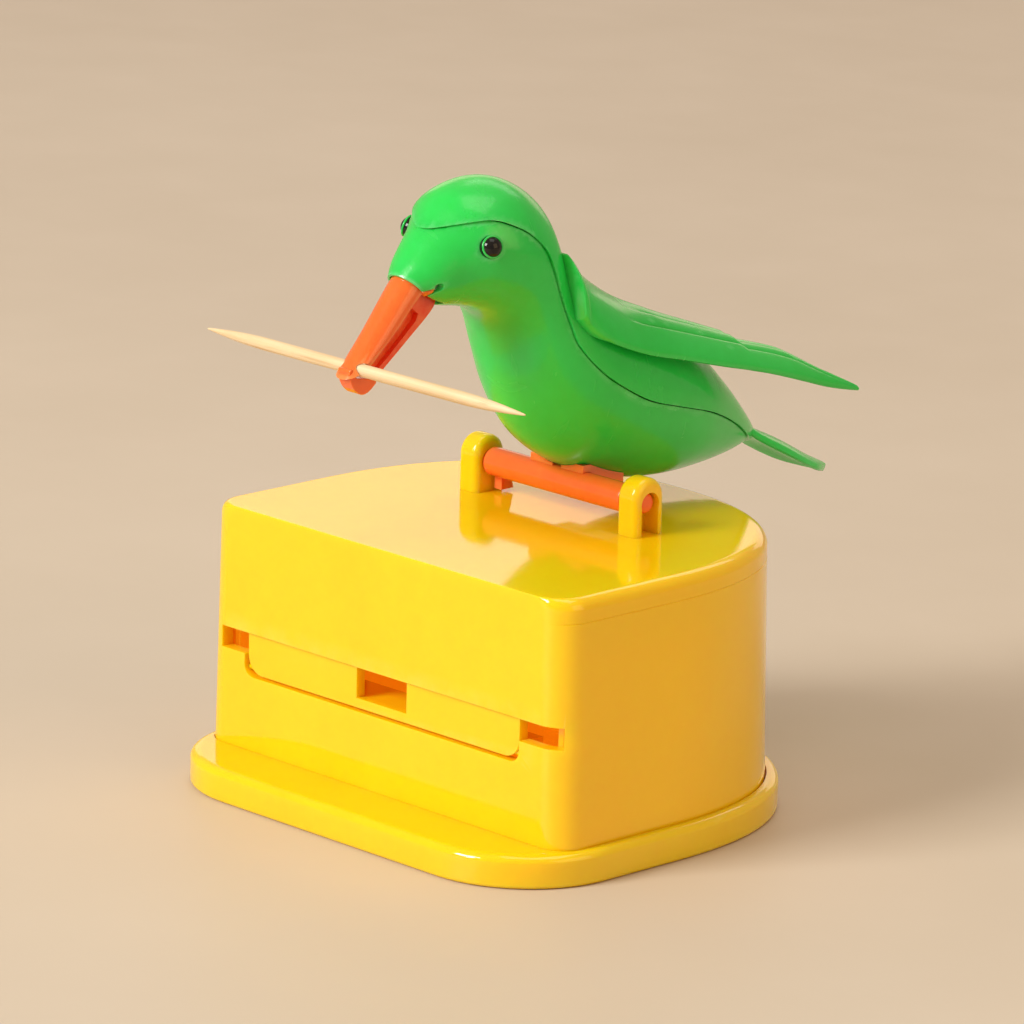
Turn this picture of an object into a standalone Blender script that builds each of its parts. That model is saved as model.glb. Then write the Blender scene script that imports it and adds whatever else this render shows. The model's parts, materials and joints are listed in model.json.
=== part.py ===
"""A pecking-bird toothpick dispenser. Push the head down and the beak dips to the slot in the box.

Sizes below are in millimetres, on the box's own datum: X across the front, Y back from the front
face at its foot, Z up from the table. MM turns them into metres when a mesh is made, and the
"dispenser" empty moves the datum so that the world origin is the middle of the base.
"""

import math

import bmesh
import bpy
from mathutils import Matrix, Vector

MM = 0.001
GAP = 0.35              # clearance kept between neighbouring pieces

# Box
BOX_HALF = 37.5         # half the width of the box at its foot
BOX_STRAIGHT = 20.3     # the sides run straight back to here
BOX_BOW = 40.0          # depth of the bowed back behind that
BOX_BOW_POWER = 2.42    # squareness of the bow
BOX_TOP = 40.8
BOX_CORNER = 4.5        # radius of the two front corners
BOX_EDGE = 1.8          # rounding of the top edge
BOX_DRAFT = 0.76        # how far the walls lean in over their height
WALL = 2.0

# Base
FLANGE_FRONT = 9.8      # ledge in front of the box
FLANGE_SIDE = 1.9       # ledge round the sides and back
FLANGE_CORNER = 16.5
FLANGE_TOP = 4.9
FLANGE_EDGE = 1.2
FLOOR = 2.4
CENTRE_Y = (BOX_STRAIGHT + BOX_BOW + FLANGE_SIDE - FLANGE_FRONT) / 2

# Front slot and tipping gate
SLOT_HALF, SLOT_LOW, SLOT_HIGH = 36.0, 19.3, 22.5
GATE_HALF, GATE_LOW, GATE_HIGH = 28.2, 16.4, 22.3
GATE_CORNER = 2.9
GATE_FACE, GATE_THICK = 0.45, 1.6
NOTCH_HALF, NOTCH_LOW = 5.2, 17.8
GATE_FLOOR = 8.0        # the gate's trough reaches back to here
GATE_AXIS = Vector((0, GATE_FACE + GATE_THICK / 2, GATE_LOW + GATE_THICK / 2))
GATE_PIN_RADIUS, GATE_PIN_REACH = 0.5, 30.4
CRADLE_IN, CRADLE_OUT = 25.5, 31.0      # the cradles that the gate's pins lie in
CRADLE_HALF = 0.8

# Hopper
HOPPER_HALF = 32.8      # clears a 65 mm toothpick
HOPPER_BACK = 28.0
HOPPER_TOP = 34.0
RAMP_THICK = 1.6
RAMP_RISE = 0.38        # slope of the ramp
CHEEK_THICK = 1.0
CHEEK_FRONT = 3.2
BACK_THICK = 1.4

# Screws through the base into the posts under the ramp
SCREW_PLACES = [(-24, 13), (24, 13), (-24, 24), (24, 24)]
SCREW_PROFILE = [
    (0.0, 8.5), (0.5, 8.2), (1.0, 7.2), (1.0, 1.2), (2.2, 1.2), (2.2, 0.8), (1.9, 0.45), (0.0, 0.35),
]
SCREW_HOLE, SCREW_PILOT = 1.5, 1.35
SEAT_RADIUS, SEAT_DEEP = 2.6, 1.55
POST_RADIUS = 3.2

# Perch
PERCH_AXIS = Vector((0, 35.0, 45.4))
PERCH_RADIUS = 2.13
STUB_RADIUS = 1.5
LUG_IN, LUG_OUT = 14.4, 18.4
LUG_WIDE = 6.0
LUG_TOP = 49.2
LUG_SLOT = 3.5
LUG_WEB = 1.2           # wall left on the inner side of the slot
HEEL_IN = 12.3          # the heels that stop the bird against the box
HEEL_DROP = 4.1
FOOT_IN, FOOT_OUT = 0.9, 5.4

# Bird
SHELL = 1.5             # wall of the hollow bird
BEAK_PIN = Vector((0, 5.6, 78.8))
BEAK_LIP = 1.0          # wall of the upper beak
BEAK_PIN_RADIUS, BEAK_PIN_LENGTH = 0.5, 7.6
HOOK_HALF = 1.25
SPRING_COIL, SPRING_WIRE = 1.25, 0.22
SPRING_TURNS, SPRING_STEPS = 2, 12
SPRING_START, SPRING_PITCH = -3.5, -0.5
EYE_AT, EYE_RADIUS = Vector((8.1, 12.1, 84.3)), 1.6
WING_HALF_THICK, WING_CAMBER = 0.65, 0.13
PEG_AT, PEG_RADIUS = Vector((9.0, 37.0, 70.5)), 1.2
WEIGHT_AT, WEIGHT_RADIUS, WEIGHT_LENGTH = Vector((0, 55.0, 50.4)), 4.5, 14.0
PICK = Vector((1.8, -6.0, 68.05))
PICK_LENGTH, PICK_RADIUS, PICK_POINT, PICK_TIP = 65.0, 0.95, 13.0, 0.12


# ---------------------------------------------------------------- scene and materials

for old in list(bpy.data.objects):
    bpy.data.objects.remove(old, do_unlink=True)

PARTS = bpy.data.collections.new("toothpick_bird_dispenser")
CUTTERS = bpy.data.collections.new("cutters")
bpy.context.scene.collection.children.link(PARTS)
bpy.context.scene.collection.children.link(CUTTERS)


def finish(name, colour, roughness, metallic=0.0):
    made = bpy.data.materials.new(name)
    made.use_nodes = True
    shader = made.node_tree.nodes["Principled BSDF"]
    shader.inputs["Base Color"].default_value = (*colour, 1.0)
    shader.inputs["Roughness"].default_value = roughness
    shader.inputs["Metallic"].default_value = metallic
    made.diffuse_color = (*colour, 1.0)
    return made


YELLOW = finish("yellow_plastic", (0.95, 0.55, 0.02), 0.22)
GREEN = finish("green_plastic", (0.03, 0.55, 0.10), 0.35)
ORANGE = finish("orange_plastic", (0.90, 0.12, 0.02), 0.30)
BLACK = finish("black_eye", (0.01, 0.01, 0.01), 0.15)
WOOD = finish("pale_wood", (0.85, 0.68, 0.42), 0.60)
STEEL = finish("steel", (0.60, 0.60, 0.62), 0.30, 1.0)


def axis_empty(name, at, parent):
    """An empty on a joint's axis, which the pieces that turn on it hang from."""
    made = bpy.data.objects.new(name, None)
    made.empty_display_size = 0.01
    PARTS.objects.link(made)
    made.parent = parent
    origin = Vector(parent["datum"]) if parent else Vector((0, CENTRE_Y, 0))
    made.location = (at - origin) * MM if parent else -origin * MM
    made["datum"] = tuple(at)
    return made


DISPENSER = axis_empty("dispenser", Vector((0, 0, 0)), None)
GATE = axis_empty("gate_axis", GATE_AXIS, DISPENSER)
BIRD = axis_empty("perch_axis", PERCH_AXIS, DISPENSER)
BLADE = axis_empty("beak_axis", BEAK_PIN, BIRD)
TOOTHPICK = axis_empty("toothpick_axis", PICK, BIRD)


def piece(name, bm, parent, material=None, smooth=30.0):
    """Makes an object from a bmesh in millimetres; without a material it is a hidden cutter."""
    datum = Vector(parent["datum"])
    bmesh.ops.translate(bm, verts=bm.verts, vec=-datum)
    bmesh.ops.scale(bm, verts=bm.verts, vec=(MM, MM, MM))
    bmesh.ops.recalc_face_normals(bm, faces=bm.faces)
    mesh = bpy.data.meshes.new(name)
    bm.to_mesh(mesh)
    bm.free()
    mesh.shade_smooth()
    mesh.set_sharp_from_angle(angle=math.radians(smooth))
    made = bpy.data.objects.new(name, mesh)
    made.parent = parent
    if material:
        mesh.materials.append(material)
        PARTS.objects.link(made)
    else:
        made.hide_render = True
        made.display_type = "WIRE"
        CUTTERS.objects.link(made)
    return made


def combine(target, other, operation):
    change = target.modifiers.new(operation.lower() + "_" + other.name, "BOOLEAN")
    change.operation = operation
    change.solver = "EXACT"
    change.object = other


def cut(target, *others):
    for other in others:
        combine(target, other, "DIFFERENCE")


def join(target, *others):
    for other in others:
        combine(target, other, "UNION")


# ---------------------------------------------------------------- shape helpers, all in millimetres


def block(low, high):
    bm = bmesh.new()
    size = Vector(high) - Vector(low)
    middle = (Vector(high) + Vector(low)) / 2
    place = Matrix.Translation(middle) @ Matrix.Diagonal((*size, 1))
    bmesh.ops.create_cube(bm, size=1.0, matrix=place)
    return bm


TURN_TO = {
    "X": Matrix.Rotation(math.radians(90), 4, "Y"),
    "Y": Matrix.Rotation(math.radians(-90), 4, "X"),
    "Z": Matrix.Identity(4),
}


def rod(middle, radius, length, axis, far_radius=None, segments=24):
    bm = bmesh.new()
    bmesh.ops.create_cone(
        bm, cap_ends=True, segments=segments, radius1=radius,
        radius2=radius if far_radius is None else far_radius, depth=length,
        matrix=Matrix.Translation(middle) @ TURN_TO[axis],
    )
    return bm


def ball(middle, radius, segments=20):
    bm = bmesh.new()
    bmesh.ops.create_uvsphere(
        bm, u_segments=segments, v_segments=segments // 2, radius=radius,
        matrix=Matrix.Translation(middle) @ TURN_TO["X"],
    )
    return bm


# Where a flat outline's own (across, up, through) directions point for each way of extruding it.
PLANES = {
    "X": Matrix(((0, 0, 1, 0), (1, 0, 0, 0), (0, 1, 0, 0), (0, 0, 0, 1))),
    "Y": Matrix(((1, 0, 0, 0), (0, 0, -1, 0), (0, 1, 0, 0), (0, 0, 0, 1))),
    "Z": Matrix.Identity(4),
}


def slab(outline, low, high, through):
    """A flat outline, drawn as a filled 2D curve and extruded from low to high along one axis."""
    curve = bpy.data.curves.new("outline", "CURVE")
    curve.dimensions = "2D"
    curve.fill_mode = "BOTH"
    curve.extrude = (high - low) / 2
    spline = curve.splines.new("POLY")
    spline.points.add(len(outline) - 1)
    for point, (across, up) in zip(spline.points, outline):
        point.co = (across, up, 0, 1)
    spline.use_cyclic_u = True
    guide = bpy.data.objects.new("outline", curve)
    bpy.context.scene.collection.objects.link(guide)
    graph = bpy.context.evaluated_depsgraph_get()
    mesh = bpy.data.meshes.new_from_object(guide.evaluated_get(graph))
    bm = bmesh.new()
    bm.from_mesh(mesh)
    bpy.data.objects.remove(guide, do_unlink=True)
    bmesh.ops.remove_doubles(bm, verts=bm.verts, dist=0.001)
    middle = (low + high) / 2
    shift = Vector({"X": (middle, 0, 0), "Y": (0, middle, 0), "Z": (0, 0, middle)}[through])
    bmesh.ops.transform(bm, verts=bm.verts, matrix=Matrix.Translation(shift) @ PLANES[through])
    return bm


def arc(centre, radius, start, end, steps):
    """Points on an arc, with its angles in degrees."""
    angles = [math.radians(start + (end - start) * i / steps) for i in range(steps + 1)]
    return [(centre[0] + radius * math.cos(a), centre[1] + radius * math.sin(a)) for a in angles]


def loft(rings, close_start=True):
    """Skins a list of rings, each a list of the same number of points."""
    bm = bmesh.new()
    made = [[bm.verts.new(point) for point in ring] for ring in rings]
    count = len(rings[0])
    for near, far in zip(made, made[1:]):
        for i in range(count):
            j = (i + 1) % count
            bm.faces.new((near[i], near[j], far[j], far[i]))
    if close_start:
        bm.faces.new(made[0][::-1])
    bm.faces.new(made[-1])
    return bm


def spline_between(p, q, r, s, t):
    """Catmull-Rom: the value at t on the way from q to r."""
    bend = 2 * p - 5 * q + 4 * r - s
    twist = 3 * q - p - 3 * r + s
    return 0.5 * (2 * q + (r - p) * t + bend * t**2 + twist * t**3)


def smooth_path(points, steps):
    """A smooth line through a list of equal-length tuples."""
    knots = [points[0], *points, points[-1]]
    path = []
    for a, b, c, d in zip(knots, knots[1:], knots[2:], knots[3:]):
        for i in range(steps):
            t = i / steps
            path.append(tuple(spline_between(p, q, r, s, t) for p, q, r, s in zip(a, b, c, d)))
    return [*path, tuple(points[-1])]


# ---------------------------------------------------------------- base and box


def d_outline(inset, corner=BOX_CORNER, front=0.0):
    """The box's D-shaped plan: square corners in front, a bowed back. Inset is negative to grow it."""
    half = BOX_HALF - inset
    bow = BOX_BOW - inset
    right = arc((half - corner, front + corner), corner, -90, 0, 6)
    for i in range(1, 17):
        turn = math.radians(90 * i / 16)
        across = half * math.cos(turn) ** (2 / BOX_BOW_POWER)
        right.append((across, BOX_STRAIGHT + bow * math.sin(turn) ** (2 / BOX_BOW_POWER)))
    right[-1] = (0.0, BOX_STRAIGHT + bow)
    left = [(-x, y) for x, y in right[-2::-1]]
    return right + left


def lean(height):
    return BOX_DRAFT * (height - FLANGE_TOP) / (BOX_TOP - FLANGE_TOP)


def make_base_tray():
    def ring(inset, height):
        grown = inset - FLANGE_SIDE
        return [(x, y, height) for x, y in d_outline(grown, FLANGE_CORNER, inset - FLANGE_FRONT)]

    rings = [ring(0.6, 0.0), ring(0.0, 0.6)]
    for i in range(4):
        turn = math.radians(90 * i / 3)
        height = FLANGE_TOP - FLANGE_EDGE * (1 - math.sin(turn))
        rings.append(ring(FLANGE_EDGE * (1 - math.cos(turn)), height))
    tray = piece("base_tray", loft(rings), DISPENSER, YELLOW)
    recess = [(x, y) for x, y in d_outline(-GAP)]
    cut(tray, piece("tray_recess", slab(recess, FLOOR, FLANGE_TOP + 3, "Z"), DISPENSER))
    for i, (x, y) in enumerate(SCREW_PLACES):
        hole = rod((x, y, FLOOR / 2), SCREW_HOLE, 2 * FLOOR, "Z", segments=16)
        seat = rod((x, y, 0.0), SEAT_RADIUS, 2 * SEAT_DEEP, "Z", segments=20)
        cut(tray, piece(f"screw_hole_{i}", hole, DISPENSER))
        cut(tray, piece(f"screw_seat_{i}", seat, DISPENSER))
    return tray


def lug(side):
    """One upright of the perch: an arch, with a slot in its outer face for the shaft's stub."""
    y, z = PERCH_AXIS.y, PERCH_AXIS.z
    low, high = sorted((side * LUG_IN, side * LUG_OUT))
    radius = LUG_WIDE / 2
    arch = [(y - radius, BOX_TOP - 1), (y + radius, BOX_TOP - 1)]
    arch += arc((y, LUG_TOP - radius), radius, 0, 180, 10)
    slot = [(y - LUG_SLOT / 2, BOX_TOP), (y + LUG_SLOT / 2, BOX_TOP)]
    slot += arc((y, z), LUG_SLOT / 2, 0, 180, 8)
    slot_ends = sorted((side * (LUG_IN + LUG_WEB), side * (LUG_OUT + 1)))
    hole_middle = (side * (LUG_IN + LUG_OUT) / 2, y, z)
    name = "right" if side > 0 else "left"
    upright = piece("lug_" + name, slab(arch, low, high, "X"), DISPENSER)
    opening = piece("lug_slot_" + name, slab(slot, *slot_ends, "X"), DISPENSER)
    hole = rod(hole_middle, STUB_RADIUS + GAP, 2 * LUG_WIDE, "X", segments=16)
    return upright, opening, piece("lug_hole_" + name, hole, DISPENSER)


def gate_outline(grow):
    """The gate's face, X and Z: square above, rounded below."""
    half, low, corner = GATE_HALF + grow, GATE_LOW - grow, GATE_CORNER
    high = GATE_HIGH + (grow and 0.2)
    right = [(half, high)]
    right += arc((half - corner, low + corner), corner, 0, -90, 6)
    return right + [(-x, z) for x, z in right[::-1]]


def make_housing():
    rings = [[(x, y, FLOOR + GAP) for x, y in d_outline(0)]]
    rings += [[(x, y, FLANGE_TOP) for x, y in d_outline(0)]]
    for i in range(5):
        turn = math.radians(90 * i / 4)
        height = BOX_TOP - BOX_EDGE * (1 - math.sin(turn))
        inset = lean(height) + BOX_EDGE * (1 - math.cos(turn))
        rings.append([(x, y, height) for x, y in d_outline(inset)])
    housing = piece("housing", loft(rings, close_start=False), DISPENSER, YELLOW)
    shell = housing.modifiers.new("wall", "SOLIDIFY")
    shell.thickness = WALL * MM
    shell.offset = -1
    shell.use_even_offset = True
    slot = [(-SLOT_HALF + 1, SLOT_LOW), (SLOT_HALF - 1, SLOT_LOW), (SLOT_HALF - 1, SLOT_HIGH)]
    slot += [(-SLOT_HALF + 1, SLOT_HIGH)]
    cut(housing, piece("slot_cut", slab(slot, -2, WALL + 1.5, "Y"), DISPENSER))
    cut(housing, piece("gate_cut", slab(gate_outline(GAP), -2, WALL + 1.5, "Y"), DISPENSER))
    for side in (-1, 1):
        ends = sorted((side * CRADLE_IN, side * CRADLE_OUT))
        low = (ends[0], GATE_AXIS.y - CRADLE_HALF, GATE_AXIS.z - CRADLE_HALF)
        high = (ends[1], WALL + 1.5, GATE_AXIS.z + CRADLE_HALF)
        cut(housing, piece(f"pin_cradle_{side}", block(low, high), DISPENSER))
        upright, opening, hole = lug(side)
        join(housing, upright)
        cut(housing, opening, hole)
    return housing


def make_gate():
    """The lip seen in the front and the trough behind it, tipping on two stub pins."""
    face = slab(gate_outline(0), GATE_FACE, GATE_FACE + GATE_THICK, "Y")
    gate = piece("pick_gate", face, GATE, YELLOW)
    trough = [(GATE_FACE + 0.8, GATE_LOW), (GATE_FLOOR, GATE_LOW + 0.3), (GATE_FLOOR, GATE_LOW + 1.3)]
    trough += [(GATE_FACE + 0.8, GATE_LOW + 1.3)]
    half = GATE_HALF - GATE_CORNER
    join(gate, piece("trough", slab(trough, -half, half, "X"), GATE))
    pins = rod(GATE_AXIS, GATE_PIN_RADIUS, 2 * GATE_PIN_REACH, "X", segments=12)
    join(gate, piece("gate_pins", pins, GATE))
    notch = [(-NOTCH_HALF, NOTCH_LOW), (NOTCH_HALF, NOTCH_LOW), (NOTCH_HALF, GATE_HIGH + 2)]
    notch += [(-NOTCH_HALF, GATE_HIGH + 2)]
    cut(gate, piece("notch_cut", slab(notch, -2, 4, "Y"), GATE))
    lower_edge = [(GATE_FACE - 1, GATE_LOW - 1), (GATE_AXIS.y, GATE_LOW - 1)]
    lower_edge += arc((GATE_AXIS.y, GATE_AXIS.z), GATE_THICK / 2, -90, -180, 6)
    lower_edge += [(GATE_FACE - 1, GATE_AXIS.z)]
    cut(gate, piece("lower_edge_cut", slab(lower_edge, -35, 35, "X"), GATE))
    return gate


# ---------------------------------------------------------------- hopper


def ramp_height(y):
    """Height of the ramp's upper face, which slopes down to the gate."""
    return GATE_LOW + 0.6 + RAMP_RISE * (y - GATE_FLOOR)


def make_hopper():
    front = GATE_FLOOR + GAP
    high_front, high_back = ramp_height(front), ramp_height(HOPPER_BACK)
    slope = [(front, high_front - RAMP_THICK), (HOPPER_BACK, high_back - RAMP_THICK)]
    slope += [(HOPPER_BACK, high_back), (front, high_front)]
    ramp = piece("hopper_ramp", slab(slope, -HOPPER_HALF, HOPPER_HALF, "X"), DISPENSER, YELLOW)
    low = FLOOR + GAP
    for i, (x, y) in enumerate(SCREW_PLACES):
        top = ramp_height(y) - 0.6
        post = rod((x, y, (low + top) / 2), POST_RADIUS, top - low, "Z", segments=20)
        pilot = rod((x, y, low + 3.5), SCREW_PILOT, 9, "Z", segments=16)
        join(ramp, piece(f"ramp_post_{i}", post, DISPENSER))
        cut(ramp, piece(f"ramp_pilot_{i}", pilot, DISPENSER))
    plate = [(CHEEK_FRONT, low), (HOPPER_BACK, low), (HOPPER_BACK, HOPPER_TOP), (CHEEK_FRONT, HOPPER_TOP)]
    for name, side in (("left", -1), ("right", 1)):
        start = HOPPER_HALF + GAP
        ends = sorted((side * start, side * (start + CHEEK_THICK)))
        piece("hopper_cheek_" + name, slab(plate, *ends, "X"), DISPENSER, YELLOW)
    behind = HOPPER_BACK + GAP
    back = block((-HOPPER_HALF, behind, low), (HOPPER_HALF, behind + BACK_THICK, HOPPER_TOP))
    piece("hopper_back", back, DISPENSER, YELLOW)


def make_base_screw(index, x, y):
    """A pan-head self-tapping screw, turned about its own axis, head down."""
    points = [(radius * MM, 0, height * MM) for radius, height in SCREW_PROFILE]
    edges = [(i, i + 1) for i in range(len(points) - 1)]
    mesh = bpy.data.meshes.new(f"base_screw_{index}")
    mesh.from_pydata(points, edges, [])
    mesh.materials.append(STEEL)
    screw = bpy.data.objects.new(f"base_screw_{index}", mesh)
    screw.parent = DISPENSER
    screw.location = (x * MM, y * MM, 0)
    PARTS.objects.link(screw)
    turn = screw.modifiers.new("turn", "SCREW")
    turn.steps = 20
    turn.render_steps = 20
    turn.merge_threshold = 0.00001
    turn.use_merge_vertices = True
    turn.use_smooth_shade = True


# ---------------------------------------------------------------- perch


def make_perch():
    y, z = PERCH_AXIS.y, PERCH_AXIS.z
    between = rod(PERCH_AXIS, PERCH_RADIUS, 2 * (LUG_IN - GAP), "X", segments=28)
    shaft = piece("perch_shaft", between, BIRD, ORANGE)
    join(shaft, piece("perch_stubs", rod(PERCH_AXIS, STUB_RADIUS, 2 * (LUG_OUT - 1.2), "X"), BIRD))
    heel = [(y, z - HEEL_DROP), (y + 2.6, z - HEEL_DROP), (y + 1.6, z - 0.6), (y, z)]
    for side in (-1, 1):
        ends = sorted((side * HEEL_IN, side * (LUG_IN - GAP - 0.2)))
        join(shaft, piece(f"heel_{side}", slab(heel, *ends, "X"), BIRD))
    for name, side in (("left", -1), ("right", 1)):
        ends = sorted((side * FOOT_IN, side * FOOT_OUT))
        foot = block((ends[0], y + 1.2, z - 0.6), (ends[1], y + 7.5, z + 1.7))
        foot = piece("perch_foot_" + name, foot, BIRD, ORANGE)
        cut(foot, SHAFT_CLEAR, BODY_OUTSIDE)


# ---------------------------------------------------------------- bird

# Stations from the beak's root to the tail: top (Y, Z), bottom (Y, Z), half width.
BODY_STATIONS = [
    (1.6, 80.3, 5.6, 76.4, 3.2),
    (3.6, 82.9, 8.4, 75.2, 5.2),
    (7.1, 87.2, 12.2, 74.5, 6.9),
    (11.3, 91.0, 16.0, 73.4, 9.2),
    (18.4, 92.6, 19.4, 71.0, 10.1),
    (24.6, 89.4, 21.4, 66.8, 10.1),
    (28.4, 83.1, 22.8, 61.8, 10.2),
    (33.4, 77.6, 25.0, 56.4, 11.0),
    (39.0, 73.6, 28.8, 51.4, 11.8),
    (46.0, 69.8, 34.8, 47.6, 12.1),
    (53.0, 65.8, 43.0, 44.8, 11.4),
    (59.5, 61.2, 52.0, 43.7, 9.6),
    (65.5, 55.8, 61.0, 43.9, 6.8),
    (70.5, 50.6, 68.0, 44.7, 4.0),
    (73.6, 47.2, 73.0, 45.8, 1.4),
]
BODY_SIDES = 24

# The parting line between body and cap, Y and Z, from the forehead back to the tail.
SEAM = [
    (-2.0, 84.6), (3.0, 85.2), (6.9, 86.7), (10.3, 87.7), (12.9, 87.9), (15.5, 87.1), (18.5, 85.5),
    (21.1, 83.0), (22.5, 80.2), (24.1, 76.1), (26.1, 71.5), (27.6, 68.2), (31.1, 64.4), (34.8, 61.7),
    (40.7, 58.6), (47.7, 56.5), (56.2, 54.0), (64.4, 50.4), (71.0, 46.3), (79.0, 40.6),
]


def body_ring(station, grow):
    top_y, top_z, low_y, low_z, half = station
    top, low = Vector((0, top_y, top_z)), Vector((0, low_y, low_z))
    up = (top - low).normalized()
    middle = (top + low) / 2
    rise = max((top - low).length / 2 + grow, 0.3)
    half = max(half + grow, 0.3)
    ring = []
    for i in range(BODY_SIDES):
        turn = 2 * math.pi * i / BODY_SIDES
        ring.append(middle + up * rise * math.sin(turn) + Vector((half * math.cos(turn), 0, 0)))
    return ring


def body_loft(grow, skip=0):
    """The bird without beak, wings or tail, grown or shrunk all over; skip leaves out end stations."""
    stations = BODY_STATIONS[skip:len(BODY_STATIONS) - skip]
    return loft([body_ring(station, grow) for station in stations])


def seam_region(lift):
    """Everything above the parting line, which becomes the cap; lift moves the line up or down."""
    line = smooth_path(SEAM, 3)
    raised = []
    for before, point, after in zip([line[0], *line], line, [*line[1:], line[-1]]):
        along = (Vector(after) - Vector(before)).normalized()
        raised.append((point[0] - along.y * lift, point[1] + along.x * lift))
    return slab([*raised, (110, 43), (110, 110), (-20, 110), (-20, raised[0][1])], -30, 30, "X")


BODY_OUTSIDE = piece("body_outside", body_loft(GAP), BIRD)
SHAFT_CLEAR = piece("shaft_clear", rod(PERCH_AXIS, PERCH_RADIUS + GAP, 50, "X", segments=28), BIRD)


def beak_ring(front, rear, half):
    """Round in front, open and flat behind: the beak's U-shaped section."""
    front, rear = Vector((0, *front)), Vector((0, *rear))
    across = Vector((half, 0, 0))
    back = (rear - front).normalized()
    deep = (rear - front).length
    nose = front + back * half
    ring = [rear + across, rear - across] if deep > half else []
    for i in range(9):
        turn = math.pi * i / 8
        ring.append(nose - across * math.cos(turn) - back * half * math.sin(turn))
    return ring


BEAK_FRONT = [(4.2, 82.0), (1.3, 79.2), (-3.4, 73.4), (-8.6, 66.9)]
BEAK_REAR = [(8.4, 79.2), (4.4, 78.0), (-0.9, 72.6), (-5.3, 68.3)]
BEAK_HALF = [2.9, 2.8, 2.5, 2.2]
HOOK_OUTLINE = [
    (-8.0, 67.3), (-7.6, 66.2), (-6.9, 65.2), (-5.7, 64.4), (-4.5, 64.5), (-3.4, 65.2), (-2.8, 65.9),
    (-3.9, 66.4), (-5.4, 66.75), (-6.4, 66.9), (-7.0, 67.4), (-7.3, 68.2), (-7.9, 68.2),
]
# Lower beak: its front and rear edges (Y, Z) and half width, from the root to the tip.
BLADE_STATIONS = [
    ((6.4, 79.9), (7.6, 77.2), 1.4),
    ((4.7, 79.0), (7.5, 75.1), 1.35),
    ((-0.6, 73.4), (2.85, 71.1), 1.1),
    ((-4.6, 69.6), (-1.55, 67.65), 0.9),
]


def beak_loft(grow, stretch=0.0):
    """The upper beak's outer form; grow thickens it, and stretch pushes its rear face back."""
    rings = []
    for front, rear, half in zip(BEAK_FRONT, BEAK_REAR, BEAK_HALF):
        back = (Vector(rear) - Vector(front)).normalized()
        start = Vector(front) - back * grow
        end = Vector(rear) + back * (grow + stretch)
        rings.append(beak_ring(start, end, half + grow))
    return loft(rings)


def make_beak():
    beak = piece("upper_beak", beak_loft(0), BIRD, ORANGE)
    cut(beak, piece("beak_channel", beak_loft(-BEAK_LIP, stretch=6.0), BIRD))
    join(beak, piece("beak_hook", slab(HOOK_OUTLINE, -HOOK_HALF, HOOK_HALF, "X"), BIRD))
    clear = rod((0, PICK.y, PICK.z), PICK_RADIUS + 0.3, 12, "X", segments=20)
    cut(beak, piece("pick_clear", clear, BIRD))
    cut(beak, piece("beak_pin_hole", rod(BEAK_PIN, 0.9, 12, "X", segments=16), BIRD))

    rings = []
    for (fy, fz), (ry, rz), half in BLADE_STATIONS:
        rings.append([(-half, fy, fz), (half, fy, fz), (half, ry, rz), (-half, ry, rz)])
    blade = piece("lower_beak", loft(rings), BLADE, ORANGE)
    blade_clear = rod((0, PICK.y, PICK.z), PICK_RADIUS + GAP, 12, "X", segments=20)
    join(blade, piece("blade_eye", rod(BEAK_PIN, 1.9, 2.6, "X", segments=20), BLADE))
    cut(blade, piece("blade_bore", rod(BEAK_PIN, BEAK_PIN_RADIUS + GAP, 6, "X", segments=16), BLADE))
    cut(blade, piece("blade_clear", blade_clear, BLADE))
    pin = rod(BEAK_PIN, BEAK_PIN_RADIUS, BEAK_PIN_LENGTH, "X", segments=16)
    piece("beak_pin", pin, BIRD, STEEL)


# Wing: upper edge (X, Y, Z) and lower edge (X, Y, Z), from the shoulder to the tip.
WING_STATIONS = [
    ((8.9, 25.4, 81.8), (11.6, 26.8, 72.4)),
    ((6.8, 31.0, 77.4), (12.9, 31.0, 69.0)),
    ((5.2, 38.5, 73.0), (13.4, 38.5, 66.0)),
    ((4.9, 46.0, 69.6), (13.6, 46.0, 64.1)),
    ((4.9, 55.0, 66.3), (13.6, 55.0, 61.8)),
    ((5.6, 63.5, 63.2), (13.3, 63.5, 59.7)),
    ((7.4, 71.0, 60.4), (12.9, 71.0, 57.4)),
    ((9.8, 78.0, 56.8), (12.4, 78.0, 55.1)),
    ((11.6, 84.3, 54.1), (12.1, 84.5, 53.5)),
]


def make_wing(name, side):
    """A thin cambered plate, from the shoulder to a point beyond the tail's root."""
    rings = []
    for upper, lower in WING_STATIONS:
        upper, lower = Vector(upper), Vector(lower)
        across = lower - upper
        out = Vector((0, 1, 0)).cross(across).normalized()
        if out.x < 0:
            out = -out
        thick = WING_HALF_THICK if across.length > 1 else WING_HALF_THICK / 2
        camber = WING_CAMBER * across.length
        face, back = [], []
        for i in range(6):
            t = i / 5
            point = upper + across * t + out * camber * math.sin(math.pi * t)
            face.append(point + out * thick)
            back.append(point - out * thick)
        ring = face + back[::-1]
        rings.append([Vector((side * p.x, p.y, p.z)) for p in ring])
    wing = piece("wing_" + name, loft(rings), BIRD, GREEN)
    cut(wing, BODY_OUTSIDE)
    peg = Vector((side * PEG_AT.x, PEG_AT.y, PEG_AT.z))
    join(wing, piece("wing_peg_" + name, rod(peg, PEG_RADIUS, 6.5, "X", segments=16), BIRD))
    return piece("wing_peg_hole_" + name, rod(peg, PEG_RADIUS + GAP, 12, "X", segments=16), BIRD)


# Tail: Y, Z, half width and how far its edges droop.
TAIL_STATIONS = [
    (68.0, 50.4, 2.0, 0.4),
    (73.0, 47.0, 3.4, 0.8),
    (79.0, 44.2, 4.8, 1.5),
    (85.0, 41.0, 3.8, 1.2),
    (90.0, 38.6, 0.7, 0.2),
]
TAIL_LIFT = Vector((0, 0.3, 0.55))      # from the tail's middle to its upper face


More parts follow.
